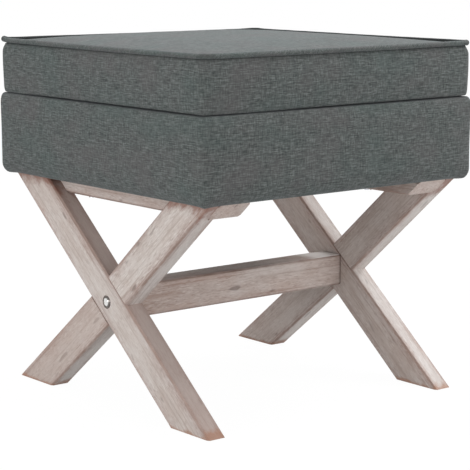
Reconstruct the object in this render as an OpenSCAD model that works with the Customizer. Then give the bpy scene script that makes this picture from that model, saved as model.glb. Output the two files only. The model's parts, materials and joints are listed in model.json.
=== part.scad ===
// Storage ottoman: an upholstered box with a hinged, cushioned lid on two X-shaped wooden frames.
// Millimetres, +Z up, origin on the floor under the middle of the box, front towards -Y.

/* [Overall] */
// Width of the box, left to right
box_w = 460; // [380:1:540]
// Depth of the box, front to back
box_d = 460; // [440:1:540]
// Height of the X-frames, from the floor to the underside of the box
frame_h = 290; // [250:1:340]
// Height of the box, from its underside to the line between box and lid
box_h = 111; // [100:1:130]
// Height of the lid, from that line to the middle of the piping
lid_h = 70; // [55:1:100]

/* [X-frames] */
// Width of each leg across the grain, seen from the side
leg_w = 51; // [36:0.5:60]
// Thickness of each leg
leg_t = 28; // [24:0.5:36]
// How far the outer face of a frame stands in from the side of the box
leg_inset = 18.5; // [14:0.5:30]
// Distance from the middle of the stool to the middle of a leg's top
top_reach = 177; // [150:0.5:185]
// How much nearer the middle a foot stands than a leg's top
foot_in = 1.5; // [0:0.5:12]
// How far below half the frame's height the half legs meet the long leg
cross_drop = 3.5; // [0:0.5:12]
// Chamfer along the long edges of the wood
wood_chamfer = 2.4; // [0.5:0.1:3]
// Diameter of the dowels between a half leg and the long leg
half_dowel_d = 10; // [6:0.5:12]
// Length of those dowels
half_dowel_l = 30; // [24:0.5:33]
// Distance between the two dowels of a joint
half_dowel_spacing = 26; // [20:0.5:28]
// Radial play of every dowel and screw in its hole
peg_play = 0.05; // [0.02:0.01:0.08]

/* [Top rails] */
// Width of each rail under the box
rail_w = 50; // [40:1:60]
// Height of each rail
rail_h = 20; // [16:0.5:26]
// Depth to which a rail is let into the legs
rail_housing = 11; // [6:0.5:16]
// Diameter of the dowels between rail and leg
rail_dowel_d = 8; // [5:0.5:10]
// Length of those dowels
rail_dowel_l = 24; // [18:0.5:28]
// Distance between the two dowels at a rail's end
rail_dowel_spacing = 30; // [20:1:36]

/* [Stretcher] */
// Width of the stretcher, front to back
stretcher_w = 40; // [30:1:50]
// Height of the stretcher
stretcher_h = 44; // [36:1:54]
// Distance of the stretcher's middle, and of its bolts, below the crossing
stretcher_drop = 2; // [0:0.5:5]
// Diameter of the bolt through the long leg into the stretcher
stretcher_bolt_d = 8; // [6:0.5:9]
// Length of that bolt under its head
stretcher_bolt_l = 68; // [60:1:80]
// Diameter of the bolt's domed head
bolt_head_d = 15; // [12:0.5:18]
// Height of the domed head
bolt_head_h = 3.8; // [2:0.1:5]
// Diameter of the recess round the head
bolt_recess_d = 17.5; // [16:0.5:20]
// Depth of the recess
bolt_recess_h = 1.6; // [0.5:0.1:3]
// Diameter of the barrel nut in the stretcher
barrel_nut_d = 12; // [10:0.5:14]
// Length of the barrel nut
barrel_nut_l = 20; // [14:0.5:24]
// Distance from the stretcher's end to the barrel nut
barrel_nut_in = 33; // [26:0.5:38]
// Diameter of the small dowel that keeps the stretcher from turning
turn_dowel_d = 6; // [4:0.5:8]
// Length of that dowel in the stretcher
turn_dowel_l = 16; // [10:0.5:20]
// Length of that dowel in the leg
turn_dowel_in = 7; // [4:0.5:8]
// Distance of that dowel below the bolt
turn_dowel_drop = 13; // [11:0.5:16]

/* [Box bolts] */
// Diameter of the bolts that hold the box on the rails
box_bolt_d = 6; // [5:0.5:8]
// Diameter of their heads
box_bolt_head_d = 11; // [9:0.5:14]
// Height of their heads
box_bolt_head_h = 4; // [3:0.5:5]
// Distance of each bolt from the middle of a leg's top, front to back
box_bolt_in = 87; // [70:1:115]
// Diameter of the washers
washer_d = 18; // [15:0.5:22]
// Thickness of the washers
washer_t = 1.5; // [1:0.1:2]
// Diameter of the barrel of a tee nut
tee_nut_d = 8.5; // [8:0.5:11]
// Diameter of the flange of a tee nut
tee_flange_d = 19; // [15:0.5:24]
// Thickness of that flange
tee_flange_t = 1.3; // [1:0.1:2]

/* [Box] */
// Thickness of the base board
base_t = 15; // [12:0.5:20]
// Thickness of the four side panels
panel_t = 12; // [10:0.5:18]
// Foam and fabric between a panel and the outside of the box
side_stuffing = 12; // [10:0.5:18]
// Thickness of the fabric
cover_t = 1.2; // [0.8:0.1:1.8]
// Radius of the box's lower edge
bottom_r = 15; // [14:0.5:21]
// Height of the rounding at the box's top edge
rim_rise = 16; // [10:0.5:20]
// Depth of that rounding
rim_in = 5.8; // [4:0.1:7]
// Radius of the upright corners, seen from above
corner_r = 9; // [7:0.5:14]
// How far the box's sides swell in their middle
box_swell = 1.2; // [0.4:0.1:2.5]
// Width of the fabric turned under the base board
hem_w = 30; // [20:1:40]
// Depth of the fabric turned in over the rim
turn_in = 18; // [12:1:24]
// Thickness of the lining inside the compartment
lining_t = 0.8; // [0.5:0.1:1]
// Thickness of the cloth under the box and under the lid
dust_cloth_t = 0.6; // [0.4:0.1:0.8]
// Gap between a soft piece and its neighbour
soft_gap = 0.3; // [0.2:0.05:0.4]
// Diameter of the panel screws
panel_screw_d = 3.5; // [3:0.1:4]
// Length of the panel screws
panel_screw_l = 35; // [28:1:40]

/* [Lid] */
// Gap between the closed lid and the box
seam_gap = 1.4; // [1:0.1:2]
// How far the lid's sides stand in from the sides of the box
lid_inset = 2.4; // [1:0.1:5]
// Thickness of the lid board
lid_board_t = 12; // [10:0.5:15]
// Padding and fabric between the board's edge and the outside of the lid
lid_stuffing = 3.2; // [3:0.1:5]
// Height of the rounding at the lid's lower edge
lid_edge_rise = 8; // [6:0.5:12]
// Depth of that rounding
lid_edge_in = 2.5; // [1.5:0.1:4]
// How far the lid's sides swell in their middle
lid_swell = 1.5; // [0.4:0.1:2.5]
// How far the side is drawn in under the piping
lid_pinch = 2; // [1:0.1:3]
// Height over which it is drawn in
pinch_h = 11; // [6:0.5:16]
// Diameter of the piping
piping_d = 6.6; // [4:0.1:8]
// Height of the crown above the middle of the piping
lid_crown = 9; // [4:0.5:16]
// Width of the fabric turned under the lid board
lid_hem_w = 26; // [18:1:32]

/* [Hinges] */
// Distance of the middle of a hinge from the side of the box
hinge_in = 110; // [80:1:140]
// Length of a hinge
hinge_l = 60; // [45:1:75]
// Diameter of the knuckles
knuckle_d = 6; // [5:0.2:7]
// Thickness of the leaves
leaf_t = 1.5; // [1:0.1:1.8]
// Width of a leaf, from the pin's axis to its edge
leaf_w = 20; // [18:0.5:24]
// Distance of the pin's axis from the back of the box
pin_inset = 4; // [3.6:0.1:5]
// Diameter of the hinge pin
pin_d = 3; // [2.5:0.1:3.4]
// Radial play of the pin in the knuckles
pin_play = 0.05; // [0.02:0.01:0.08]
// Gap between neighbouring knuckles
knuckle_gap = 0.3; // [0.2:0.05:0.5]
// Distance between the screws of a leaf
leaf_screw_spacing = 40; // [26:1:48]
// Length of the hinge screws
leaf_screw_l = 10; // [8:0.5:11]

/* [Lid stay] */
// Distance from the hinge axis forward to the stay's pivot on the lid
stay_reach = 130; // [100:1:150]
// Height of that pivot below the hinge axis
stay_drop = 12; // [11:0.5:14]
// Distance from the hinge axis forward to the stay's pivot on the box
stay_foot_in = 36; // [34:0.5:44]
// Height of that pivot below the hinge axis
stay_foot_drop = 71; // [60:0.5:72]
// Width of the stay's arms
stay_arm_w = 13; // [11:0.5:14]
// Thickness of the stay's arms and plates
stay_t = 2; // [1.5:0.1:2]
// Gap between neighbouring arms and plates
stay_gap = 0.3; // [0.2:0.05:0.4]
// Diameter of the stay's rivets
rivet_d = 5; // [4:0.2:6]
// Diameter of the rivets' heads
rivet_head_d = 9; // [8:0.5:11]
// Height of the rivets' heads
rivet_head_h = 1; // [0.6:0.1:1.1]
// Length of the screws of the stay's brackets
stay_screw_l = 10; // [8:0.5:11]
// Diameter of the small screws of hinges and stay
small_screw_d = 3; // [2.5:0.1:3.5]
// Diameter of the heads of those screws
small_head_d = 6; // [5:0.2:6.4]
// Height of the heads of the stay's screws
small_head_h = 1.5; // [1:0.1:1.6]

/* [Hidden] */
$fn = 36;

whitewashed = "#b9aea8";
beech = "#d9bb8c";
plywood = "#c9a877";
foam = "#e8e0b8";
linen = "#5f6566";
lining_black = "#2b2b2d";
steel = "#b8babd";

// Cuts run past the piece by this much
over = 1;
// Straight steps in each rounded edge of the fabric
arc_steps = 4;
// Small end play of dowels and screws in blind holes
end_play = 0.5;

half_w = box_w / 2;
half_d = box_d / 2;
seam_z = frame_h + box_h;

// X-frames: a long leg runs from the front foot to the back top, two half legs butt against it
frame_x = half_w - leg_inset;
foot_reach = top_reach - foot_in;
cross_z = frame_h / 2 - cross_drop;
stretcher_z = cross_z - stretcher_drop;
leg_in_x = frame_x - leg_t;
leg_mid_x = frame_x - leg_t / 2;
cross_y = -foot_reach + cross_z * (foot_reach + top_reach) / frame_h;
long_a = atan2(frame_h, foot_reach + top_reach);
upper_a = atan2(frame_h - cross_z, -top_reach - cross_y);
lower_a = atan2(-cross_z, foot_reach - cross_y);
long_half_y = leg_w / 2 / sin(long_a);
upper_half_y = leg_w / 2 / sin(upper_a);
// The dowels are centred on the half leg, at the middle of their part in it
half_dowel_v = leg_w / 2 + half_dowel_l / 4;
upper_shift = half_dowel_v / tan(upper_a - long_a);
lower_shift = -half_dowel_v / tan(lower_a - long_a);
frame_span = foot_reach + top_reach + 2 * long_half_y;

function long_y(z) = -foot_reach + z * (foot_reach + top_reach) / frame_h;
function upper_y(z) = cross_y - (z - cross_z) * (cross_y + top_reach) / (frame_h - cross_z);

// Top rails
rail_out_x = leg_in_x + rail_housing;
rail_in_x = rail_out_x - rail_w;
rail_mid_x = (rail_out_x + rail_in_x) / 2;
rail_bottom = frame_h - rail_h;
box_bolt_y = top_reach - box_bolt_in;

// Box
panel_x = half_w - side_stuffing;
panel_y = half_d - side_stuffing;
inner_x = panel_x - panel_t;
inner_y = panel_y - panel_t;
base_z = frame_h + cover_t;
floor_z = base_z + base_t;
// The panels' lower edges just clear the inside of the cover's rounding
panel_bottom = frame_h + bottom_r - sqrt(
    pow((bottom_r - cover_t) * cos(45 / arc_steps) - soft_gap, 2)
    - pow(max(bottom_r + box_swell - side_stuffing, 0), 2));
rim_z = seam_z - seam_gap / 2;
panel_top = rim_z - cover_t - soft_gap;
pad_t = side_stuffing - box_swell - cover_t - soft_gap;
pad_chamfer = pad_t * 0.45;
pad_bottom = frame_h + bottom_r - pad_chamfer;
pad_top = rim_z - rim_rise + pad_chamfer;
corner_share = 0.75;

// Lid
lid_bottom = seam_z + seam_gap / 2;
lid_x = half_w - lid_inset;
lid_y = half_d - lid_inset;
board_x = lid_x - lid_swell - lid_stuffing;
board_y = lid_y - lid_swell - lid_stuffing;
board_z = lid_bottom + cover_t + soft_gap;
board_top = board_z + lid_board_t;
piping_r = piping_d / 2;
piping_z = seam_z + lid_h;
boxing_top = piping_z - piping_r - soft_gap;
panel_edge_in = 2 * piping_r + soft_gap;
crown_power = 4;

// Hinges: the pins lie in the groove between box and lid
hinge_x = half_w - hinge_in;
pin_y = half_d - pin_inset;
pin_z = seam_z;
knuckle_r = knuckle_d / 2;
leaf_far = pin_y - leaf_w;
box_leaf_z = pin_z - knuckle_r;
lid_leaf_z = pin_z + knuckle_r - leaf_t;
leaf_screw_y = inner_y + panel_t / 2;
knuckle_l = (hinge_l - 2 * knuckle_gap) / 3;
pocket_r = knuckle_r + 2 * soft_gap;

// Lid stay: a parallelogram with the hinge axis, so both arms turn at the lid's own rate
stay_lid = [pin_y - stay_reach, pin_z - stay_drop];
stay_foot = [pin_y - stay_foot_in, pin_z - stay_foot_drop];
stay_elbow = stay_foot + stay_lid - [pin_y, pin_z];
wall_x = inner_x - lining_t;
bracket_x = wall_x - stay_t;
lower_arm_x = bracket_x - stay_gap - stay_t;
upper_arm_x = lower_arm_x - stay_gap - stay_t;
// Width of an arm between its round eyes, as a share of theirs
bar_share = 0.8;
flange_w = 1.4 * stay_arm_w;
flange_l = 2.2 * stay_arm_w;
lid_flange_z = lid_bottom - dust_cloth_t - stay_t;

// Points round a box of half size hx by hy, counter-clockwise from the right side
corner_steps = 3;
side_steps = 6;
signs = [[1, 1], [-1, 1], [-1, -1], [1, -1]];
function corner_point(k, a, hx, hy, r) = [
    signs[k][0] * (hx - r) + r * cos(90 * k + a),
    signs[k][1] * (hy - r) + r * sin(90 * k + a)
];
function side_point(k, s, hx, hy, r, swell) =
    let (a = corner_point(k, 90, hx, hy, r), b = corner_point((k + 1) % 4, 0, hx, hy, r),
        n = [cos(90 * k + 90), sin(90 * k + 90)])
    a + (b - a) * s + n * swell * 4 * s * (1 - s);
function outline(hx, hy, r, swell) = [
    for (k = [0:3]) each concat(
        [for (i = [0:corner_steps]) corner_point(k, 90 * i / corner_steps, hx, hy, r)],
        [for (i = [1:side_steps - 1]) side_point(k, i / side_steps, hx, hy, r, swell)]
    )
];
function at_height(points, z) = [for (p = points) [p[0], p[1], z]];
tight_r = soft_gap;
function ring(hx, hy, inset, z, swell) =
    at_height(outline(hx - inset, hy - inset, max(corner_r - inset, tight_r), swell), z);

// A closed skin through rings of points, joined end to end, or closed by a middle point at each end
function quads(n, j, m) = [
    for (i = [0:n - 1]) let (a = j * n + i, b = j * n + (i + 1) % n,
        c = (j + 1) % m * n + i, d = (j + 1) % m * n + (i + 1) % n) each [[a, b, d], [a, d, c]]
];
function fan(n, start, tip) = [for (i = [0:n - 1]) [tip, start + (i + 1) % n, start + i]];
function back_fan(n, start, tip) = [for (i = [0:n - 1]) [tip, start + i, start + (i + 1) % n]];
module band(rings) {
    n = len(rings[0]);
    m = len(rings);
    faces = [for (j = [0:m - 1]) each quads(n, j, m)];
    polyhedron([for (r = rings) each r], [for (f = faces) [f[2], f[1], f[0]]], convexity = 6);
}
module lump(first_tip, rings, last_tip) {
    n = len(rings[0]);
    m = len(rings);
    count = n * m;
    faces = concat([for (j = [0:m - 2]) each quads(n, j, m)],
        fan(n, 0, count), back_fan(n, n * (m - 1), count + 1));
    polyhedron(concat([for (r = rings) each r], [first_tip, last_tip]),
        [for (f = faces) [f[2], f[1], f[0]]], convexity = 6);
}

// A block of wood with chamfered long edges, lying along Y, with one end at the origin
module chamfered_bar(w, h, length) {
    c = wood_chamfer;
    rotate([-90, 0, 0]) linear_extrude(height = length)
        polygon([[c - w / 2, -h / 2], [w / 2 - c, -h / 2], [w / 2, c - h / 2], [w / 2, h / 2 - c],
            [w / 2 - c, h / 2], [c - w / 2, h / 2], [-w / 2, h / 2 - c], [-w / 2, c - h / 2]]);
}
// A bar of a frame through one point, at an angle in the upright plane of the frame
module slanted_bar(x, y, z, a, back, length) {
    translate([x, y, z]) rotate([a, 0, 0]) translate([0, -back, 0]) chamfered_bar(leg_t, leg_w, length);
}
// A prism along X from an outline in Y and Z
module side_prism(x, length) {
    translate([x, 0, 0]) rotate([90, 0, 90]) linear_extrude(height = length) children();
}
// A rod with one end at a point
module rod_x(x, y, z, r, length) {
    translate([x, y, z]) rotate([0, 90, 0]) cylinder(r = r, h = length);
}
module rod_y(x, y, z, r, length) {
    translate([x, y, z]) rotate([-90, 0, 0]) cylinder(r = r, h = length);
}
module rod_z(x, y, z, r, length) {
    translate([x, y, z]) cylinder(r = r, h = length);
}
module both_sides() {
    children();
    mirror([1, 0, 0]) children();
}
module corners_of(x, y) {
    for (sx = [-1, 1], sy = [-1, 1]) translate([sx * x, sy * y, 0]) children();
}

// Where a frame stands between the floor and the box
module frame_slab(x) {
    translate([x - leg_t / 2 - over, -frame_span, 0]) cube([leg_t + 2 * over, 2 * frame_span, frame_h]);
}
// Everything on one side of the long leg's face
module beyond_long_leg(side) {
    translate([0, cross_y, cross_z]) rotate([long_a, 0, 0])
        translate([-half_w, -frame_span, side > 0 ? leg_w / 2 - frame_span : -leg_w / 2])
        cube([box_w, 2 * frame_span, frame_span]);
}
module half_dowel_set(x, extra_r, extra_l) {
    translate([x, cross_y, cross_z]) rotate([long_a, 0, 0])
        for (s = [-1, 1], face = [-1, 1])
            translate([0, (face > 0 ? upper_shift : lower_shift) + s * half_dowel_spacing / 2,
                face * leg_w / 2 - half_dowel_l / 2 - extra_l])
                cylinder(r = half_dowel_d / 2 + extra_r, h = half_dowel_l + 2 * extra_l);
}
module rail_dowel_set(extra_r, extra_l) {
    for (end = [-1, 1], s = [-1, 1])
        rod_x(rail_out_x - rail_dowel_l / 2 - extra_l,
            end * (end > 0 ? long_y(frame_h - rail_h / 2) : -upper_y(frame_h - rail_h / 2))
                + s * rail_dowel_spacing / 2,
            frame_h - rail_h / 2, rail_dowel_d / 2 + extra_r, rail_dowel_l + 2 * extra_l);
}
module rail_housing_cut() {
    translate([leg_in_x - over, -frame_span, rail_bottom])
        cube([rail_housing + over, 2 * frame_span, rail_h + over]);
}
module stretcher_bolt_hole() {
    rod_x(frame_x - bolt_recess_h - stretcher_bolt_l - end_play, 0, stretcher_z,
        stretcher_bolt_d / 2 + peg_play, stretcher_bolt_l + bolt_recess_h + end_play + over);
}
module bolt_recess() {
    rod_x(frame_x - bolt_recess_h, 0, stretcher_z, bolt_recess_d / 2, bolt_recess_h + over);
}
module turn_dowel(extra_r, extra_l) {
    rod_x(leg_in_x - turn_dowel_l - extra_l, 0, stretcher_z - turn_dowel_drop,
        turn_dowel_d / 2 + extra_r, turn_dowel_l + turn_dowel_in + 2 * extra_l);
}
module leg_cuts() {
    half_dowel_set(leg_mid_x, peg_play, end_play);
    rail_dowel_set(peg_play, end_play);
    rail_housing_cut();
}
module long_leg() {
    color(whitewashed) difference() {
        intersection() {
            slanted_bar(leg_mid_x, cross_y, cross_z, long_a, frame_span, 2 * frame_span);
            frame_slab(leg_mid_x);
        }
        leg_cuts();
        stretcher_bolt_hole();
        bolt_recess();
        turn_dowel(peg_play, end_play);
    }
}
module upper_half_leg() {
    color(whitewashed) difference() {
        intersection() {
            slanted_bar(leg_mid_x, cross_y, cross_z, upper_a, 0, frame_span);
            frame_slab(leg_mid_x);
        }
        beyond_long_leg(1);
        leg_cuts();
    }
}
module lower_half_leg() {
    color(whitewashed) difference() {
        intersection() {
            slanted_bar(leg_mid_x, cross_y, cross_z, lower_a, 0, frame_span);
            frame_slab(leg_mid_x);
        }
        beyond_long_leg(-1);
        leg_cuts();
    }
}
module left_long_leg() { mirror([1, 0, 0]) long_leg(); }
module left_upper_half_leg() { mirror([1, 0, 0]) upper_half_leg(); }
module left_lower_half_leg() { mirror([1, 0, 0]) lower_half_leg(); }
module right_long_leg() { long_leg(); }
module right_upper_half_leg() { upper_half_leg(); }
module right_lower_half_leg() { lower_half_leg(); }
module half_leg_dowels() {
    color(beech) both_sides() half_dowel_set(leg_mid_x, 0, 0);
}

// A rail's ends are cut on the slant of the legs' outer edges
module top_rail() {
    color(whitewashed) difference() {
        intersection() {
            translate([rail_mid_x, -frame_span, frame_h - rail_h / 2])
                chamfered_bar(rail_w, rail_h, 2 * frame_span);
            side_prism(rail_in_x - over, rail_w + 2 * over)
                polygon([[upper_y(rail_bottom) - upper_half_y, rail_bottom],
                    [long_y(rail_bottom) + long_half_y, rail_bottom],
                    [long_y(frame_h) + long_half_y, frame_h],
                    [upper_y(frame_h) - upper_half_y, frame_h]]);
        }
        rail_dowel_set(peg_play, end_play);
        for (s = [-1, 1])
            rod_z(rail_mid_x, s * box_bolt_y, rail_bottom - over, box_bolt_d / 2 + peg_play, rail_h + 2 * over);
    }
}
module left_top_rail() { mirror([1, 0, 0]) top_rail(); }
module right_top_rail() { top_rail(); }
module rail_dowels() {
    color(beech) both_sides() rail_dowel_set(0, 0);
}

module stretcher() {
    nut_in = barrel_nut_l / 2 + end_play;
    color(whitewashed) difference() {
        translate([leg_in_x, 0, stretcher_z]) rotate([0, 0, 90])
            chamfered_bar(stretcher_w, stretcher_h, 2 * leg_in_x);
        both_sides() {
            stretcher_bolt_hole();
            turn_dowel(peg_play, end_play);
            rod_z(leg_in_x - barrel_nut_in, 0, stretcher_z - stretcher_h / 2 - over,
                barrel_nut_d / 2 + peg_play, stretcher_h / 2 + nut_in + over);
        }
    }
}
// A domed head: a flat disc under a low cap
module dome(d, h) {
    cap = h * 0.7;
    ball = (d * d / 4 + cap * cap) / (2 * cap);
    cylinder(d = d, h = h - cap);
    translate([0, 0, h - cap]) intersection() {
        translate([0, 0, cap - ball]) sphere(r = ball);
        cylinder(d = d, h = cap);
    }
}
module stretcher_bolts() {
    color(steel) both_sides() {
        rod_x(frame_x - bolt_recess_h - stretcher_bolt_l, 0, stretcher_z,
            stretcher_bolt_d / 2, stretcher_bolt_l);
        translate([frame_x - bolt_recess_h, 0, stretcher_z]) rotate([0, 90, 0]) dome(bolt_head_d, bolt_head_h);
    }
}
module stretcher_barrel_nuts() {
    color(steel) both_sides() difference() {
        rod_z(leg_in_x - barrel_nut_in, 0, stretcher_z - barrel_nut_l / 2, barrel_nut_d / 2, barrel_nut_l);
        rod_x(leg_in_x - barrel_nut_in - barrel_nut_d, 0, stretcher_z,
            stretcher_bolt_d / 2 + peg_play, 2 * barrel_nut_d);
    }
}
module stretcher_dowels() {
    color(beech) both_sides() turn_dowel(0, 0);
}

// Bolts up through the rails into tee nuts in the base board
module box_bolts() {
    color(steel) corners_of(rail_mid_x, box_bolt_y) {
        rod_z(0, 0, rail_bottom - washer_t, box_bolt_d / 2, floor_z - rail_bottom + washer_t);
        rod_z(0, 0, rail_bottom - washer_t - box_bolt_head_h, box_bolt_head_d / 2, box_bolt_head_h);
    }
}
module box_bolt_washers() {
    color(steel) corners_of(rail_mid_x, box_bolt_y) difference() {
        rod_z(0, 0, rail_bottom - washer_t, washer_d / 2, washer_t);
        rod_z(0, 0, rail_bottom - washer_t - over, box_bolt_d / 2 + peg_play, washer_t + 2 * over);
    }
}
module box_tee_nuts() {
    color(steel) corners_of(rail_mid_x, box_bolt_y) difference() {
        union() {
            rod_z(0, 0, base_z, tee_nut_d / 2, base_t);
            rod_z(0, 0, floor_z - tee_flange_t, tee_flange_d / 2, tee_flange_t);
        }
        rod_z(0, 0, base_z - over, box_bolt_d / 2 + peg_play, base_t + 2 * over);
    }
}

// Wooden body of the box: four panels round the edges of a base board
module base_board() {
    color(plywood) difference() {
        translate([-inner_x, -inner_y, base_z]) cube([2 * inner_x, 2 * inner_y, base_t]);
        corners_of(rail_mid_x, box_bolt_y) {
            rod_z(0, 0, base_z - over, tee_nut_d / 2 + peg_play, base_t + 2 * over);
            rod_z(0, 0, floor_z - tee_flange_t, tee_flange_d / 2 + peg_play, tee_flange_t + over);
        }
        panel_screw_set(peg_play, end_play);
    }
}
// A countersunk screw along +Z with its head's face at the origin
module wood_screw(d, length, extra_r, extra_l) {
    rod_z(0, 0, 0, d / 2 + extra_r, length + extra_l);
    cylinder(r1 = d + extra_r, r2 = d / 2 + extra_r, h = d / 2);
}
corner_screw_share = [0.42, 0.8];
base_screw_share = [-0.5, 0.5];
module panel_screw_set(extra_r, extra_l) {
    panel_h = panel_top - panel_bottom;
    for (turn = [0, 180]) rotate([0, 0, turn]) {
        for (sx = [-1, 1], share = corner_screw_share)
            translate([sx * (inner_x + panel_t / 2), -panel_y, panel_bottom + share * panel_h])
                rotate([-90, 0, 0]) wood_screw(panel_screw_d, panel_screw_l, extra_r, extra_l);
        for (share = base_screw_share)
            translate([share * 2 * rail_mid_x, -panel_y, base_z + base_t / 2])
                rotate([-90, 0, 0]) wood_screw(panel_screw_d, panel_screw_l, extra_r, extra_l);
    }
    for (turn = [0, 180]) rotate([0, 0, turn]) for (share = base_screw_share)
        translate([panel_x, share * 2 * box_bolt_y, base_z + base_t / 2])
            rotate([0, -90, 0]) wood_screw(panel_screw_d, panel_screw_l, extra_r, extra_l);
}
module panel_screws() {
    color(steel) panel_screw_set(0, 0);
}
module front_panel() {
    color(plywood) difference() {
        translate([-panel_x, -panel_y, panel_bottom]) cube([2 * panel_x, panel_t, panel_top - panel_bottom]);
        panel_screw_set(peg_play, end_play);
    }
}
module back_panel() {
    color(plywood) difference() {
        translate([-panel_x, inner_y, panel_bottom]) cube([2 * panel_x, panel_t, panel_top - panel_bottom]);
        panel_screw_set(peg_play, end_play);
        box_leaf_beds();
        each_hinge() leaf_screw_set(1, peg_play, end_play);
    }
}
module right_panel() {
    color(plywood) difference() {
        translate([inner_x, -inner_y, panel_bottom]) cube([panel_t, 2 * inner_y, panel_top - panel_bottom]);
        panel_screw_set(peg_play, end_play);
        stay_box_screw_set(peg_play, end_play);
    }
}
module left_panel() {
    color(plywood) difference() {
        translate([-panel_x, -inner_y, panel_bottom]) cube([panel_t, 2 * inner_y, panel_top - panel_bottom]);
        panel_screw_set(peg_play, end_play);
    }
}

// Foam on the outside of the panels, thinner towards its upper and lower edges
module pad_section(low, face, length) {
    side_prism(-length / 2, length)
        polygon([[low, pad_bottom], [face + pad_t - pad_chamfer, pad_bottom],
            [face + pad_t, pad_bottom + pad_chamfer], [face + pad_t, pad_top - pad_chamfer],
            [face + pad_t - pad_chamfer, pad_top], [low, pad_top]]);
}
module long_pad(x, y) {
    reach = x + pad_t;
    cut = corner_share * pad_t;
    intersection() {
        pad_section(y, y, 2 * reach);
        rotate([0, 0, 90]) pad_section(-x, x, 4 * reach);
        rotate([0, 0, -90]) pad_section(-x, x, 4 * reach);
        translate([0, 0, pad_bottom]) linear_extrude(height = pad_top - pad_bottom)
            polygon([[-reach, y], [reach, y], [reach, y + pad_t - cut], [reach - cut, y + pad_t],
                [cut - reach, y + pad_t], [-reach, y + pad_t - cut]]);
    }
}
module back_pad() {
    color(foam) long_pad(panel_x, panel_y);
}
module front_pad() {
    color(foam) rotate([0, 0, 180]) long_pad(panel_x, panel_y);
}
module right_pad() {
    color(foam) rotate([0, 0, -90]) pad_section(panel_x, panel_x, 2 * panel_y);
}
module left_pad() {
    color(foam) rotate([0, 0, 90]) pad_section(panel_x, panel_x, 2 * panel_y);
}

// Fabric of the box: turned under the base board, round the lower edge, up the swelling sides,
// over the rim and down inside
side_shares = [0.35, 0.7];
function box_outside(t) =
    let (r = bottom_r - t, low = frame_h + bottom_r, high = rim_z - rim_rise)
    concat(
        [[side_stuffing + panel_t + hem_w - box_swell, frame_h + t, 0]],
        [for (i = [0:arc_steps]) let (a = 90 * i / arc_steps)
            [bottom_r - r * sin(a), low - r * cos(a), box_swell * i / arc_steps]],
        [for (s = side_shares) [t, low + s * (high - low), box_swell]],
        [for (i = [0:arc_steps]) let (a = 90 * i / arc_steps)
            [rim_in + (t - rim_in) * cos(a), high + (rim_rise - t) * sin(a), box_swell * (1 - i / arc_steps)]],
        [for (z = [rim_z - t, rim_z - turn_in])
            [side_stuffing + panel_t + cover_t - t - box_swell, z, 0]]
    );
function flip(list) = [for (i = [len(list) - 1:-1:0]) list[i]];
function ring_at(hx, hy, swell, p) = ring(hx - swell, hy - swell, p[0], p[1], p[2]);
module box_cover() {
    color(linen) difference() {
        band([for (p = concat(box_outside(0), flip(box_outside(cover_t)))) ring_at(half_w, half_d, box_swell, p)]);
        hinge_pockets(-1);
    }
}
module compartment_lining() {
    gap = soft_gap / 2;
    color(lining_black) difference() {
        translate([-inner_x, -inner_y, floor_z])
            cube([2 * inner_x, 2 * inner_y, rim_z - turn_in - gap - floor_z]);
        translate([lining_t - inner_x, lining_t - inner_y, floor_z + lining_t])
            cube([2 * (inner_x - lining_t), 2 * (inner_y - lining_t), rim_z]);
        stay_box_screw_set(peg_play, end_play);
    }
}
module dust_cover() {
    edge_x = inner_x - hem_w - soft_gap;
    edge_y = inner_y - hem_w - soft_gap;
    color(lining_black) difference() {
        translate([-edge_x, -edge_y, base_z - dust_cloth_t]) cube([2 * edge_x, 2 * edge_y, dust_cloth_t]);
        corners_of(rail_mid_x, box_bolt_y)
            rod_z(0, 0, frame_h - over, box_bolt_d / 2 + peg_play, cover_t + 2 * over);
    }
}

// Hinges
module each_hinge() {
    for (s = [-1, 1]) translate([s * hinge_x, 0, 0]) children();
}
// Room for leaf and knuckles in the soft pieces of the box (-1) or of the lid (1)
module hinge_pockets(side) {
    play = 2 * soft_gap;
    each_hinge() {
        rod_x(-hinge_l / 2 - play, pin_y, pin_z, pocket_r, hinge_l + 2 * play);
        translate([-hinge_l / 2 - play, leaf_far - play,
                side < 0 ? box_leaf_z - soft_gap : lid_bottom - over])
            cube([hinge_l + 2 * play, leaf_w + play,
                side < 0 ? rim_z + over - box_leaf_z : board_z + leaf_t + over - lid_bottom]);
    }
}
module box_leaf_beds() {
    each_hinge() translate([-hinge_l / 2 - peg_play, inner_y - over, box_leaf_z])
        cube([hinge_l + 2 * peg_play, panel_t + 2 * over, knuckle_d]);
}
module lid_leaf_beds() {
    each_hinge() translate([-hinge_l / 2 - peg_play, leaf_far - peg_play, lid_leaf_z - knuckle_d])
        cube([hinge_l + 2 * peg_play, leaf_w + over, leaf_t + knuckle_d]);
}
// Screws of the leaves, down into the back panel (1) or up into the lid board (-1)
module leaf_screw_set(side, extra_r, extra_l) {
    face_z = side > 0 ? box_leaf_z + leaf_t : lid_leaf_z;
    for (s = [-1, 0, 1])
        translate([s * leaf_screw_spacing / 2, leaf_screw_y, face_z])
            rotate([side > 0 ? 180 : 0, 0, 0])
                wood_screw(small_screw_d, leaf_screw_l, extra_r, extra_l);
}
module knuckle(x, length) {
    rod_x(x, pin_y, pin_z, knuckle_r, length);
}
module pin_bore() {
    rod_x(-hinge_l, pin_y, pin_z, pin_d / 2 + pin_play, 2 * hinge_l);
}
module box_leaf() {
    step = knuckle_l + knuckle_gap;
    color(steel) difference() {
        union() {
            translate([-hinge_l / 2, leaf_far, box_leaf_z]) cube([hinge_l, leaf_w, leaf_t]);
            for (i = [0, 2]) knuckle(i * step - hinge_l / 2, knuckle_l);
        }
        translate([-knuckle_l / 2 - knuckle_gap, pin_y - pocket_r, box_leaf_z - over])
            cube([knuckle_l + 2 * knuckle_gap, knuckle_d, knuckle_d]);
        pin_bore();
        leaf_screw_set(1, peg_play, 0);
    }
}
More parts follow.
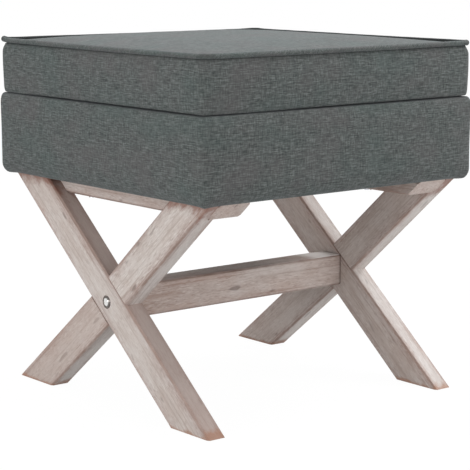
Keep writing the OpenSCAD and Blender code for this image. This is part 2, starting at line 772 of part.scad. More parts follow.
module lid_leaf() {
    color(steel) difference() {
        union() {
            difference() {
                translate([-hinge_l / 2, leaf_far, lid_leaf_z]) cube([hinge_l, leaf_w, leaf_t]);
                for (s = [-1, 1]) translate([s * (knuckle_l + knuckle_gap) - knuckle_l / 2 - knuckle_gap - over,
                        pin_y - pocket_r, lid_leaf_z - over])
                    cube([knuckle_l + 2 * knuckle_gap + 2 * over, knuckle_d, knuckle_d]);
            }
            knuckle(-knuckle_l / 2, knuckle_l);
        }
        pin_bore();
        leaf_screw_set(-1, peg_play, 0);
    }
}
module left_hinge_box_leaf() { translate([-hinge_x, 0, 0]) box_leaf(); }
module right_hinge_box_leaf() { translate([hinge_x, 0, 0]) box_leaf(); }
module left_hinge_lid_leaf() { translate([-hinge_x, 0, 0]) lid_leaf(); }
module right_hinge_lid_leaf() { translate([hinge_x, 0, 0]) lid_leaf(); }
module hinge_pins() {
    color(steel) each_hinge() rod_x(-hinge_l / 2, pin_y, pin_z, pin_d / 2, hinge_l);
}
module hinge_box_screws() {
    color(steel) each_hinge() leaf_screw_set(1, 0, 0);
}
module hinge_lid_screws() {
    color(steel) each_hinge() leaf_screw_set(-1, 0, 0);
}

// Lid
module rounded_board(x, y, r) {
    translate([r - x, -y, board_z]) cube([2 * (x - r), 2 * y, lid_board_t]);
    translate([-x, r - y, board_z]) cube([2 * x, 2 * (y - r), lid_board_t]);
    corners_of(x - r, y - r) rod_z(0, 0, board_z, r, lid_board_t);
}
module lid_board() {
    color(plywood) difference() {
        rounded_board(board_x, board_y, max(corner_r - lid_stuffing, wood_chamfer));
        lid_leaf_beds();
        each_hinge() leaf_screw_set(-1, peg_play, end_play);
        stay_lid_screw_set(peg_play, end_play);
    }
}
// Outside of the lid's side fabric: turned under the board, round the lower edge, up the side and
// drawn in under the piping
function lid_outside(t) =
    let (low = lid_bottom + lid_edge_rise, high = boxing_top - pinch_h)
    concat(
        [[lid_swell + lid_stuffing + lid_hem_w, lid_bottom + t, 0]],
        [for (i = [0:arc_steps]) let (a = 90 * i / arc_steps)
            [lid_edge_in + (t - lid_edge_in) * sin(a), low - (lid_edge_rise - t) * cos(a),
                lid_swell * i / arc_steps]],
        [for (s = side_shares) [t, low + s * (high - low), lid_swell]],
        [for (i = [0:arc_steps]) let (s = i / arc_steps)
            [t + lid_pinch * s * s, high + pinch_h * s, lid_swell * (1 - s)]]
    );
module lid_boxing() {
    color(linen) difference() {
        band([for (p = concat(lid_outside(0), flip(lid_outside(cover_t)))) ring_at(lid_x, lid_y, lid_swell, p)]);
        hinge_pockets(1);
    }
}
module lid_piping() {
    turns = 8;
    color(linen) band([for (i = [0:turns - 1]) let (a = -360 * i / turns)
        ring_at(lid_x + piping_r / 2, lid_y + piping_r / 2, lid_swell,
            [piping_r * (1 + cos(a)), piping_z + piping_r * sin(a), lid_swell])]);
}
// Crown of the lid: nearly flat in the middle, falling to the edge
edge_x = lid_x - lid_swell - panel_edge_in;
edge_y = lid_y - lid_swell - panel_edge_in;
function fall(x, h) = 1 - pow(min(abs(x) / h, 1), crown_power);
function crown_z(x, y) = piping_z + lid_crown * fall(x, edge_x) * fall(y, edge_y);
ring_shares = [0.95, 0.87, 0.75, 0.58, 0.38, 0.18];
function crown_ring(share, drop) =
    let (edge = outline(edge_x, edge_y, corner_r / 2, lid_swell / 2))
    [for (p = edge) [p[0] * share, p[1] * share, crown_z(p[0] * share, p[1] * share) - drop]];
module lid_top_panel() {
    color(linen) lump([0, 0, crown_z(0, 0) - cover_t],
        concat([for (s = flip(concat([1], ring_shares))) crown_ring(s, cover_t)],
            [for (s = concat([1], ring_shares)) crown_ring(s, 0)]),
        [0, 0, crown_z(0, 0)]);
}
module lid_foam() {
    t = cover_t + soft_gap;
    side = [for (p = lid_outside(t)) if (p[1] > board_top + soft_gap) p];
    foot = [side[0][0], board_top, side[0][2]];
    color(foam) lump([0, 0, board_top],
        concat([for (p = concat([foot], side)) ring_at(lid_x, lid_y, lid_swell, p)],
            [for (s = concat([1], ring_shares)) crown_ring(s, t + soft_gap)]),
        [0, 0, crown_z(0, 0) - t - soft_gap]);
}
module lid_underside_cloth() {
    cloth_x = inner_x - cover_t - over;
    cloth_y = inner_y - cover_t - over;
    color(lining_black) difference() {
        translate([-cloth_x, -cloth_y, lid_bottom - dust_cloth_t]) cube([2 * cloth_x, 2 * cloth_y, dust_cloth_t]);
        stay_lid_screw_set(peg_play, end_play);
        hinge_pockets(1);
    }
}

// Lid stay on the right-hand wall of the compartment
module stay_arm(x, from, to, hole_from, hole_to) {
    a = atan2(to[1] - from[1], to[0] - from[0]);
    reach = norm(to - from);
    color(steel) difference() {
        side_prism(x, stay_t) union() {
            translate(from) circle(d = stay_arm_w);
            translate(to) circle(d = stay_arm_w);
            translate(from) rotate(a) translate([0, -bar_share * stay_arm_w / 2])
                square([reach, bar_share * stay_arm_w]);
        }
        rod_x(x - over, from[0], from[1], hole_from, stay_t + 2 * over);
        rod_x(x - over, to[0], to[1], hole_to, stay_t + 2 * over);
    }
}
module rivet(x_low, x_high, at, head_low, head_high) {
    color(steel) {
        rod_x(x_low, at[0], at[1], rivet_d / 2, x_high - x_low);
        if (head_low) rod_x(x_low - rivet_head_h, at[0], at[1], rivet_head_d / 2, rivet_head_h);
        if (head_high) rod_x(x_high, at[0], at[1], rivet_head_d / 2, rivet_head_h);
    }
}
rivet_bore = rivet_d / 2 + pin_play;
module stay_lower_arm() {
    stay_arm(lower_arm_x, stay_foot, stay_elbow, rivet_bore, rivet_bore);
}
// The hole at the lid end is wider: the linkage is open there
module stay_upper_arm() {
    stay_arm(upper_arm_x, stay_elbow, stay_lid, rivet_bore, rivet_d / 2 + stay_gap);
}
module stay_elbow_rivet() {
    rivet(upper_arm_x - stay_gap, lower_arm_x + stay_t, stay_elbow, true, true);
}
module stay_lid_rivet() {
    rivet(upper_arm_x - stay_gap, lower_arm_x + stay_t, stay_lid, true, true);
}
module stay_box_rivet() {
    rivet(lower_arm_x - stay_gap, wall_x, stay_foot, true, false);
}
// Screws of the box bracket: below the pivot, clear of the arm's sweep
stay_screw_apart = 1.1 * stay_arm_w;
stay_screw_below = 1.1 * stay_arm_w;
module stay_box_screw_set(extra_r, extra_l) {
    for (s = [-1, 1])
        rod_x(bracket_x, stay_foot[0] + s * stay_screw_apart / 2, stay_foot[1] - stay_screw_below,
            small_screw_d / 2 + extra_r, stay_screw_l + extra_l);
}
module stay_box_screws() {
    color(steel) {
        stay_box_screw_set(0, 0);
        for (s = [-1, 1])
            rod_x(bracket_x - small_head_h, stay_foot[0] + s * stay_screw_apart / 2,
                stay_foot[1] - stay_screw_below, small_head_d / 2, small_head_h);
    }
}
module stay_box_bracket() {
    w = stay_screw_apart + small_head_d + stay_t;
    low = stay_foot[1] - stay_screw_below - small_head_d / 2 - stay_t / 2;
    color(steel) difference() {
        side_prism(bracket_x, stay_t) union() {
            translate([stay_foot[0] - w / 2, low]) square([w, stay_foot[1] - low]);
            translate(stay_foot) circle(d = w);
        }
        rod_x(bracket_x - over, stay_foot[0], stay_foot[1], rivet_bore, stay_t + 2 * over);
        stay_box_screw_set(peg_play, over);
    }
}
// Angle bracket under the lid: a flange against the cloth and an ear that carries the upper arm
module stay_lid_screw_set(extra_r, extra_l) {
    for (s = [-1, 1])
        rod_z(lower_arm_x - flange_w / 2, stay_lid[0] + s * flange_l * 0.3, lid_flange_z,
            small_screw_d / 2 + extra_r, stay_screw_l + extra_l);
}
module stay_lid_screws() {
    color(steel) {
        stay_lid_screw_set(0, 0);
        for (s = [-1, 1])
            rod_z(lower_arm_x - flange_w / 2, stay_lid[0] + s * flange_l * 0.3, lid_flange_z - small_head_h,
                small_head_d / 2, small_head_h);
    }
}
module stay_lid_bracket() {
    ear_w = stay_arm_w;
    color(steel) difference() {
        union() {
            translate([lower_arm_x + stay_t - flange_w, stay_lid[0] - flange_l / 2, lid_flange_z])
                cube([flange_w, flange_l, stay_t]);
            side_prism(lower_arm_x, stay_t) union() {
                translate(stay_lid) circle(d = ear_w);
                translate([stay_lid[0] - bar_share * ear_w / 2, stay_lid[1]])
                    square([bar_share * ear_w, lid_flange_z + stay_t - stay_lid[1]]);
            }
        }
        rod_x(lower_arm_x - over, stay_lid[0], stay_lid[1], rivet_bore, stay_t + 2 * over);
        stay_lid_screw_set(peg_play, over);
    }
}

left_long_leg();
left_upper_half_leg();
left_lower_half_leg();
right_long_leg();
right_upper_half_leg();
right_lower_half_leg();
half_leg_dowels();
left_top_rail();
right_top_rail();
rail_dowels();
stretcher();
stretcher_bolts();
stretcher_barrel_nuts();
stretcher_dowels();
box_bolts();
box_bolt_washers();
box_tee_nuts();
base_board();
front_panel();
back_panel();
left_panel();
right_panel();
panel_screws();
front_pad();
back_pad();
left_pad();
right_pad();
box_cover();
compartment_lining();
dust_cover();
left_hinge_box_leaf();
right_hinge_box_leaf();
hinge_pins();
hinge_box_screws();
left_hinge_lid_leaf();
right_hinge_lid_leaf();
hinge_lid_screws();
lid_board();
lid_foam();
lid_top_panel();
lid_boxing();
lid_piping();
lid_underside_cloth();
stay_box_bracket();
stay_box_screws();
stay_box_rivet();
stay_lower_arm();
stay_elbow_rivet();
stay_upper_arm();
stay_lid_bracket();
stay_lid_screws();
stay_lid_rivet();
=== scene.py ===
# A storage ottoman: a linen-covered box with a hinged, piped lid on two crossed wooden frames.
import json
import math

import bmesh
import bpy
import numpy as np
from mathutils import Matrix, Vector, noise


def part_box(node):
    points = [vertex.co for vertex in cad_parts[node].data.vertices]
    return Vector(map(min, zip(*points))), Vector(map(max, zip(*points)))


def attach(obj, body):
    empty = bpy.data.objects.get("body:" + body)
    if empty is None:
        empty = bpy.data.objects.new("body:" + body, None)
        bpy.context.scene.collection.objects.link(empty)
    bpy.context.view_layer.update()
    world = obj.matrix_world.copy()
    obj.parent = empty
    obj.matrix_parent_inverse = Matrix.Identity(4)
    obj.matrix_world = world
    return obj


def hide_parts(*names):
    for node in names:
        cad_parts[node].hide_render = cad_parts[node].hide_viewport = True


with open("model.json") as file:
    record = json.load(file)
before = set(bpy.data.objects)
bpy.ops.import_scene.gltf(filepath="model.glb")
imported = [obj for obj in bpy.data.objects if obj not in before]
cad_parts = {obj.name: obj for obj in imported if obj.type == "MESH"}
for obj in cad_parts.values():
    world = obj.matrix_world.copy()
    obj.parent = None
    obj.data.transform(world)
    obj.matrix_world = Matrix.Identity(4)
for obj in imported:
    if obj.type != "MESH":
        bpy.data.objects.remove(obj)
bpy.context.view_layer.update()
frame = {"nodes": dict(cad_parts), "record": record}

MM = 0.001
nodes = frame["nodes"]
subparts = {part["node"]: part for part in frame["record"]["subparts"]}


def placed(name, data):
    """A new object in the scene."""
    thing = bpy.data.objects.new(name, data)
    bpy.context.scene.collection.objects.link(thing)
    return thing


# Camera: the photograph's viewpoint, solved from the edges of the frames and the box
camera = placed("camera", bpy.data.cameras.new("camera"))
camera.location = (-1.4887, -1.8503, 0.6037)
camera.rotation_euler = (math.radians(90 - 9.50), 0, math.radians(-38.90))
camera.data.lens = 134.0
camera.data.sensor_width = 36
camera.data.clip_end = 20
bpy.context.scene.camera = camera

# Sizes of the wooden frames, as in the CAD, with heights above the floor
FRAME_TOP = 290 * MM
LEG_X = 197.5 * MM
LEG_WIDTH, LEG_THICKNESS = 51 * MM, 28 * MM
FOOT_REACH, TOP_REACH = 175.5 * MM, 177 * MM
CROSSING = (-3.7 * MM, 141.5 * MM)
RAIL_X, RAIL_Z, RAIL_REACH = 169.5 * MM, 280 * MM, 210 * MM
RAIL_WIDTH, RAIL_HEIGHT = 50 * MM, 20 * MM
STRETCHER_Z, STRETCHER_REACH = 139.5 * MM, 183.5 * MM
STRETCHER_WIDTH, STRETCHER_HEIGHT = 40 * MM, 44 * MM

# Sizes of the upholstery, as in the CAD or within 2 mm of it; the hems and WALL_IN are insets
# from the box's or the lid's side
CLOTH = 1.2 * MM
CORNER = 9 * MM
BOX_HALF = 230 * MM
BOX_HEM = (52.8 * MM, 34 * MM)
LOWER_ROUND = 15 * MM
RIM, RIM_RISE, RIM_IN = 400.3 * MM, 16 * MM, 5.8 * MM
WALL_IN, TURN_IN = 24 * MM, 18 * MM
LID_HALF = 227.6 * MM
LID_BOTTOM, LID_ROUND = 401.7 * MM, 10 * MM
LID_HEM = (30.7 * MM, 12 * MM)
PIPING, PIPING_RADIUS = 471 * MM, 3.3 * MM
BOXING_TOP, PINCH = PIPING - 3.4 * MM, 11 * MM
TOP_HALF, CROWN = 221.6 * MM, 8.4 * MM
HINGE_X, HINGE_Y, HINGE_Z = 120 * MM, 226 * MM, 401 * MM


# ---- Materials -------------------------------------------------------------------------------

def linear(colour):
    """An sRGB hex colour as linear RGBA."""
    channels = [int(colour[i:i + 2], 16) / 255 for i in (1, 3, 5)]
    return [c / 12.92 if c <= 0.04045 else ((c + 0.055) / 1.055) ** 2.4 for c in channels] + [1]


def add(tree, kind, *inputs, named=(), out=0, stops=(), **settings):
    """Adds a node with its settings; inputs are values, hex colours or the outputs of others."""
    node = tree.nodes.new("ShaderNode" + kind)
    for name, value in settings.items():
        setattr(node, name, value)
    for _ in stops[2:]:
        node.color_ramp.elements.new(0.5)
    for band, (place, colour) in zip(node.color_ramp.elements if stops else (), stops):
        band.position, band.color = place, linear(colour)
    for name, value in [*enumerate(inputs), *dict(named).items()]:
        if isinstance(value, bpy.types.NodeSocket):
            tree.links.new(value, node.inputs[name])
        else:
            node.inputs[name].default_value = linear(value) if isinstance(value, str) else value
    return node if out is None else node.outputs[out]


def marks(tree, place, per_metre, detail=2.0, roughness=0.55, wander=0.0):
    """Random marks, so many to a metre along each axis of a coordinate, as a share about 0.5."""
    spread = add(tree, "VectorMath", place, per_metre, operation="MULTIPLY")
    return add(tree, "TexNoise", named={"Vector": spread, "Scale": 1.0, "Detail": detail,
               "Roughness": roughness, "Distortion": wander})


def washed_over(tree, base, mark, bare, full, most, colour):
    """Lays a colour over a base where a mark goes from bare to full, up to its most share."""
    share = add(tree, "MapRange", mark, bare, full, 0.0, most)
    return add(tree, "Mix", share, named={6: base, 7: colour}, out=2, data_type="RGBA")


def from_bolts(tree, place):
    """How far a place lies from the line through the two stretcher bolts."""
    flat = add(tree, "VectorMath", place, (0.0, 1.0, 1.0), operation="MULTIPLY")
    return add(tree, "VectorMath", flat, (0.0, 0.0, STRETCHER_Z), operation="DISTANCE", out="Value")


def new_material(name, roughness, metallic=0.0):
    """A material with its node tree and its surface shader."""
    material = bpy.data.materials.new(name)
    material.use_nodes = True
    surface = material.node_tree.nodes["Principled BSDF"]
    surface.inputs["Roughness"].default_value = roughness
    surface.inputs["Metallic"].default_value = metallic
    return material, material.node_tree, surface


def finish_with(tree, surface, colour, height, distance, strength):
    """Links a colour and a relief to a surface."""
    tree.links.new(colour, surface.inputs["Base Color"])
    relief = add(tree, "Bump", named={"Height": height, "Distance": distance, "Strength": strength})
    tree.links.new(relief, surface.inputs["Normal"])


# How much less of the wash some legs took, on their broad faces and on their narrow sides: partly
# real, partly painted shade, darker and warmer on faces that get less light
BARE_AND_SHADED = {"left_long_leg": (0.05, 0.7), "left_lower_half_leg": (0.3, 0.0),
        "right_long_leg": (0.2, 0.0), "right_upper_half_leg": (0.15, 0.0),
        "right_lower_half_leg": (0.2, 0.0)}


def acacia_figure(tree, place):
    """The sawn wood's colour and relief: growth rings, pores and late wood along the grain."""
    # Growth rings cut lengthwise: soft bands about 12 mm wide that wander along the piece
    rings = marks(tree, place, (5.0, 85.0, 70.0), 4.0, 0.6, 0.35)
    tones = [(0.30, "#b8a9a3"), (0.50, "#c5b8b2"), (0.70, "#d0c6c1")]
    colour = add(tree, "ValToRGB", rings, stops=tones)
    # Pores and the white left in them: flecks of 4 x 0.5 mm, drawn two or three times as wide
    # so that they show
    pores = marks(tree, place, (130.0, 620.0, 620.0))
    colour = washed_over(tree, colour, pores, 0.50, 0.32, 0.60, "#8c746a")
    filled = marks(tree, place, (110.0, 520.0, 520.0), 1.0)
    colour = washed_over(tree, colour, filled, 0.53, 0.70, 0.50, "#e4dfdb")
    # Late wood: darker lines 1 mm wide and a hand long
    late = marks(tree, place, (5.0, 300.0, 250.0), 1.0, 0.5, 0.2)
    colour = washed_over(tree, colour, late, 0.57, 0.68, 0.55, "#8d7367")
    return colour, add(tree, "Math", rings, pores, operation="ADD")


def uneven_wash(tree, colour, place, wash):
    """The wash over the wood: thick and thin in patches, and cloudy where it was wiped."""
    colour = washed_over(tree, colour, wash, 0.48, 0.72, 0.45, "#d3cbc6")
    colour = washed_over(tree, colour, wash, 0.46, 0.26, 0.50, "#b39b90")
    # Wiped in streaks of 13 x 38 mm
    wiped = marks(tree, place, (26.0, 75.0, 75.0))
    colour = washed_over(tree, colour, wiped, 0.52, 0.66, 0.26, "#dcd7d4")
    return washed_over(tree, colour, wiped, 0.48, 0.35, 0.30, "#9a8277")


def worn_edges(tree, colour, place, from_edge):
    """Bare brown lines of 2 mm on the long edges, broken up."""
    patches = marks(tree, place, (40.0, 60.0, 60.0), 3.0)
    broken = add(tree, "MapRange", patches, 0.34, 0.62, 0.35, 0.95)
    line = add(tree, "MapRange", from_edge, 3.2 * MM, 1.2 * MM, 0.0, 1.0)
    worn = add(tree, "Math", broken, line, operation="MULTIPLY")
    return washed_over(tree, colour, worn, 0.0, 1.0, 0.90, "#80675c")


def stretcher_end(tree, colour, along, across):
    """Painted light, nearly white, on the upper side of the stretcher's right end; stain and
    painted shade in its joint.
    """
    painted_light_from, joint, upper_side = 305 * MM, 363 * MM, -STRETCHER_HEIGHT / 2
    # Painted light on the upper side near the right end
    top = add(tree, "MapRange", across, upper_side + 1.0 * MM, upper_side + 0.5 * MM, 0.0, 1.0)
    end = add(tree, "MapRange", along, painted_light_from, painted_light_from + 20 * MM, 0.0, 1.0)
    white = add(tree, "Math", top, end, operation="MULTIPLY")
    colour = washed_over(tree, colour, white, 0.0, 1.0, 0.85, "#f4f1ee")
    # Stain and painted shade in the joint against the leg
    return washed_over(tree, colour, along, joint, joint + 4 * MM, 0.80, "#57453d")


def leg_wash(tree, colour, rubbed, side_gap, face_gap, bare_or_shaded_faces, bare_or_shaded_sides):
    """Less of the wash on a leg's faces and sides, partly painted shade, and white left along its
    sides' middles.
    """
    broad = add(tree, "MapRange", face_gap, 3 * MM, 1 * MM, 0.0, 1.0)
    colour = washed_over(tree, colour, broad, 0.0, 1.0, bare_or_shaded_faces, "#a5877a")
    narrow = add(tree, "MapRange", side_gap, 3 * MM, 1 * MM, 0.0, 1.0)
    colour = washed_over(tree, colour, narrow, 0.0, 1.0, bare_or_shaded_sides, "#a08980")
    middle = add(tree, "MapRange", rubbed, 9 * MM, 15 * MM, 0.0, 1.0)
    white = add(tree, "Math", middle, narrow, operation="MULTIPLY")
    return washed_over(tree, colour, white, 0.0, 1.0, 0.30 * (1 - bare_or_shaded_sides), "#e6e2e0")


def leg_stains_and_recess_shade(tree, colour, place, side_gap):
    """Painted shade round the bolt's recess, and stain drawn into a leg's end cuts."""
    own = add(tree, "TexCoord", out="Object")
    # Painted shade: a dark rim round the recess
    colour = washed_over(tree, colour, from_bolts(tree, own), 9.3 * MM, 8.5 * MM, 0.60, "#57453d")
    # The stain reaches a few millimetres on the broad faces and more on the narrow ones
    from_foot = add(tree, "SeparateXYZ", own, out=2)
    from_top = add(tree, "Math", FRAME_TOP, from_foot, operation="SUBTRACT")
    soaked = add(tree, "MapRange", side_gap, 2 * MM, 0.0, 10 * MM, 22 * MM)
    blotches = add(tree, "Math", marks(tree, place, (60.0, 90.0, 90.0), 3.0), 1.6, -0.35,
                   operation="MULTIPLY_ADD")
    for from_end, spread, stain in ((from_foot, 0.7, "#a37760"), (from_top, 1.9, "#845544")):
        reach = add(tree, "Math", soaked, spread, operation="MULTIPLY")
        drawn = add(tree, "Math", from_end, reach, operation="DIVIDE")
        ragged = add(tree, "Math", drawn, blotches, operation="ADD")
        colour = washed_over(tree, colour, ragged, 1.10, 0.60, 0.75, stain)
    return colour


# Acacia, planed and brushed, then washed with thin grey-white stain and rubbed: pale and dull, with
# fine flecks along the grain, brown lines on the worn edges and red-brown wood at the end cuts
def whitewashed_acacia(node, width, thickness):
    is_leg = node.endswith("leg")
    material, tree, surface = new_material("whitewashed acacia, " + node.replace("_", " "), 0.62)
    surface.inputs["Specular IOR Level"].default_value = 0.35
    grain = add(tree, "Attribute", attribute_name="grain", out="Vector")
    along, across, through = (add(tree, "SeparateXYZ", grain, out=axis) for axis in range(3))
    # Each piece was sawn from its own place in the wood
    shift = sum(map(ord, node)) * 0.173 % 7
    place = add(tree, "VectorMath", grain, (shift, shift * 0.37, shift * 0.11), operation="ADD")
    colour, relief = acacia_figure(tree, place)
    # The wash lies in patches of 40 x 110 mm
    wash = marks(tree, place, (9.0, 24.0, 24.0))
    colour = uneven_wash(tree, colour, place, wash)
    if not is_leg:
        # The stretcher and the rails are warmer and darker in patches: less of the wash, partly
        # painted shade
        colour = washed_over(tree, colour, wash, 1.0, 0.0, 0.45, "#bd9c8c")
    # Dark marks of 5 to 12 mm where the saw cut through small knots, one or two to a leg
    knots = marks(tree, place, (30.0, 88.0, 88.0), 0.5, 0.4)
    colour = washed_over(tree, colour, knots, 0.735, 0.785, 0.65, "#6f5d56")
    # The wash lies whitest along the middle of each face and is rubbed thin towards the long edges
    side_gap = add(tree, "Math", width / 2, add(tree, "Math", across, operation="ABSOLUTE"),
                   operation="SUBTRACT")
    face_gap = add(tree, "Math", thickness / 2, add(tree, "Math", through, operation="ABSOLUTE"),
                   operation="SUBTRACT")
    from_edge = add(tree, "Math", side_gap, face_gap, operation="MAXIMUM")
    rubbed = add(tree, "Math", wash, 12 * MM, from_edge, operation="MULTIPLY_ADD")
    whitest = 0.30 if is_leg else 0.05
    colour = washed_over(tree, colour, rubbed, 11 * MM, 21 * MM, whitest, "#dbd5ce")
    colour = washed_over(tree, colour, rubbed, 13 * MM, 7 * MM, 0.35, "#b39a90")
    colour = worn_edges(tree, colour, place, from_edge)
    if is_leg:
        colour = leg_wash(tree, colour, rubbed, side_gap, face_gap, *BARE_AND_SHADED.get(node, (0.0, 0.0)))
        colour = leg_stains_and_recess_shade(tree, colour, place, side_gap)
    elif node == "stretcher":
        colour = stretcher_end(tree, colour, along, across)
    finish_with(tree, surface, colour, relief, 0.5 * MM, 0.55)
    return material


# Polyester woven to look like linen: plain weave of slubbed yarns in two greys, dull, with a soft
# sheen at grazing angles. The yarns are 0.8 mm apart, drawn 1.3 mm apart so that they show
def linen_look(name):
    material, tree, surface = new_material(name, 0.90)
    surface.inputs["Sheen Weight"].default_value = 0.18
    surface.inputs["Sheen Roughness"].default_value = 0.5
    surface.inputs["Sheen Tint"].default_value = linear("#d0d5da")
    surface.inputs["Specular IOR Level"].default_value = 0.2
    cloth = add(tree, "UVMap", uv_map="weave")
    weft = marks(tree, cloth, (120.0, 760.0, 1.0))
    warp = marks(tree, cloth, (760.0, 120.0, 1.0))
    # The weft's yarns and slubs, which run level, show more than the warp's
    slubs = add(tree, "Math", marks(tree, cloth, (460.0, 40.0, 1.0), 1.0), 0.55,
                marks(tree, cloth, (40.0, 460.0, 1.0), 1.0), operation="MULTIPLY_ADD")
    yarns = add(tree, "Math", warp, 0.75, weft, operation="MULTIPLY_ADD")
    tone = add(tree, "Math", yarns, 0.375, add(tree, "Math", slubs, 0.222, operation="MULTIPLY"),
               operation="MULTIPLY_ADD")
    greys = [(0.40, "#3c403f"), (0.475, "#505553"), (0.525, "#5c605f"), (0.60, "#727775")]
    colour = add(tree, "ValToRGB", tone, stops=greys)
    # The dye wanders between a green and a warm grey in patches of a hand's width
    dye = marks(tree, cloth, (13.0, 17.0, 1.0))
    colour = washed_over(tree, colour, dye, 0.50, 0.68, 0.34, "#615b5c")
    colour = washed_over(tree, colour, dye, 0.48, 0.32, 0.30, "#4d5c59")
    # Painted shade deep in a seam, where the folds lie close together: the cloth is darkened nearly
    # to black
    painted_seam_shade = add(tree, "Attribute", attribute_name="painted_seam_shade", out="Fac")
    colour = washed_over(tree, colour, painted_seam_shade, 0.0, 1.0, 0.90, "#1a1c1c")
    finish_with(tree, surface, colour, yarns, 0.5 * MM, 0.55)
    return material


def speckled(name, colour, other, per_metre, roughness, metallic=0.0, relief=0.2 * MM):
    """A finish of two close colours, in marks so many to a metre along the object's own axes."""
    material, tree, surface = new_material(name, roughness, metallic)
    grit = marks(tree, add(tree, "TexCoord", out="Object"), per_metre, 4.0, 0.6)
    speckles = add(tree, "ValToRGB", grit, stops=[(0.35, colour), (0.65, other)])
    finish_with(tree, surface, speckles, grit, relief, 0.6)
    return material


# Steel bolt with a turned and polished dome: bright in the middle, with a dark ring painted towards
# the steep rim, a painted reflection of its own recess
def polished_dome(name):
    material, tree, surface = new_material(name, 0.16, 1.0)
    own = add(tree, "TexCoord", out="Object")
    turned = marks(tree, own, (260.0, 260.0, 260.0), 1.0)
    spread = add(tree, "Math", turned, 2.2 * MM, from_bolts(tree, own), operation="MULTIPLY_ADD")
    # Painted reflection: the colour darkens towards the dome's rim
    ring = add(tree, "MapRange", spread, 5.6 * MM, 7.0 * MM, 0.0, 1.0)
    tones = [(0.0, "#e2e2e0"), (0.5, "#a3a19e"), (1.0, "#66615e")]
    colour = add(tree, "ValToRGB", ring, stops=tones)
    finish_with(tree, surface, colour, turned, 1.2 * MM, 0.9)
    return material


linen = linen_look("grey linen-look polyester")
# Birch plywood, rotary cut and sanded: long pale figure
plywood = speckled("birch plywood", "#c6a377", "#d9bc92", (12.0, 90.0, 260.0), 0.7, relief=0.3 * MM)
# Beech dowels, turned smooth: short fine flecks
beech = speckled("beech dowel", "#c79f74", "#d8b58c", (60.0, 400.0, 400.0), 0.55)
# Polyurethane foam, cut from a block: open cells of 1 mm, drawn 2 mm
foam = speckled("polyurethane foam", "#d8cf9d", "#e8e1b9", (500.0, 500.0, 500.0), 0.95,
                relief=0.6 * MM)
# Polypropylene lining, spun-bonded with a fine embossed grid: nearly black, dull
lining = speckled("black spun-bonded lining", "#17181a", "#2a2b2e", (420.0, 420.0, 420.0), 0.85,
                  relief=0.3 * MM)
# Steel bolts and screws, zinc-plated: bright, slightly cloudy
zinc = speckled("zinc-plated steel", "#c4c6ca", "#dcdde1", (900.0, 900.0, 900.0), 0.24, 1.0,
                relief=0.1 * MM)
# Steel strip, rolled lengthwise and nickel-plated: warm grey, satin
nickel = speckled("nickel-plated steel", "#b0aea8", "#c8c6bf", (60.0, 700.0, 700.0), 0.33, 1.0,
                  relief=0.1 * MM)

SLOT_FINISH = {"dowel_wood": beech, "plywood": plywood, "foam": foam, "grey_linen": linen,
               "dark_lining": lining, "bolt_steel": zinc, "hinge_steel": nickel}
for node, part in subparts.items():
    if part["material_slot"] in SLOT_FINISH:
        nodes[node].data.materials.clear()
        nodes[node].data.materials.append(SLOT_FINISH[part["material_slot"]])
nodes["stretcher_bolts"].data.materials[0] = polished_dome("polished steel dome")


# ---- Pieces ----------------------------------------------------------------------------------

def stand_in(piece, body, node):
    """Puts a piece on a body in place of a CAD node, and hides the node."""
    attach(piece, body)
    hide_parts(node)


def eased_copy(node, easing, sharper_than):
    """A copy of a node's mesh with its flats joined up and its sharper edges eased."""
    mesh = nodes[node].data.copy()
    work = bmesh.new()
    work.from_mesh(mesh)
    bmesh.ops.remove_doubles(work, verts=work.verts, dist=1e-6)
    bmesh.ops.dissolve_limit(work, angle_limit=math.radians(1), verts=work.verts, edges=work.edges)
    sharp = [edge for edge in work.edges
             if len(edge.link_faces) == 2 and edge.calc_face_angle(0) > math.radians(sharper_than)]
    bmesh.ops.bevel(work, geom=sharp, offset=easing, segments=2, profile=0.6, affect="EDGES",
                    clamp_overlap=True)
    work.to_mesh(mesh)
    work.free()
    return mesh


# ---- Wooden frames ---------------------------------------------------------------------------

def timber(node, start, end, width, thickness, through):
    """A wooden piece with its grain along the line from start to end and its edges eased."""
    mesh = eased_copy(node, 0.9 * MM, sharper_than=25)
    start, along = Vector(start), (Vector(end) - Vector(start)).normalized()
    through = Vector(through)
    across = through.cross(along)
    grain = mesh.attributes.new("grain", "FLOAT_VECTOR", "POINT")
    for vertex, slot in zip(mesh.vertices, grain.data):
        away = vertex.co - start
        slot.vector = (away.dot(along), away.dot(across), away.dot(through))
    mesh.materials.clear()
    mesh.materials.append(whitewashed_acacia(node, width, thickness))
    stand_in(placed("whitewashed_" + node, mesh), "base", node)


def x_frame(side, x, rail_x):
    """One X-frame: a long leg, two half legs against it, and the rail under the box."""
    leg = dict(width=LEG_WIDTH, thickness=LEG_THICKNESS, through=(1, 0, 0))
    crossing = (x, *CROSSING)
    timber(side + "_long_leg", (x, -FOOT_REACH, 0), (x, TOP_REACH, FRAME_TOP), **leg)
    timber(side + "_upper_half_leg", crossing, (x, -TOP_REACH, FRAME_TOP), **leg)
    timber(side + "_lower_half_leg", crossing, (x, FOOT_REACH, 0), **leg)
    timber(side + "_top_rail", (rail_x, -RAIL_REACH, RAIL_Z), (rail_x, RAIL_REACH, RAIL_Z),
           width=RAIL_HEIGHT, thickness=RAIL_WIDTH, through=(1, 0, 0))


def stretcher():
    """The bar between the two frames."""
    timber("stretcher", (-STRETCHER_REACH, 0, STRETCHER_Z), (STRETCHER_REACH, 0, STRETCHER_Z),
           width=STRETCHER_HEIGHT, thickness=STRETCHER_WIDTH, through=(0, 1, 0))


# ---- Cloth -----------------------------------------------------------------------------------

CORNER_STEPS = 7
SIDE_STEPS = 36


def nearness(distance, width):
    """1 at no distance, 0.37 at a width's and nearly nothing past two."""
    return math.exp(-(distance / width) ** 2)


def quarter(steps):
    """Angles of a quarter turn, in equal steps."""
    return [math.radians(90 * i / steps) for i in range(steps + 1)]


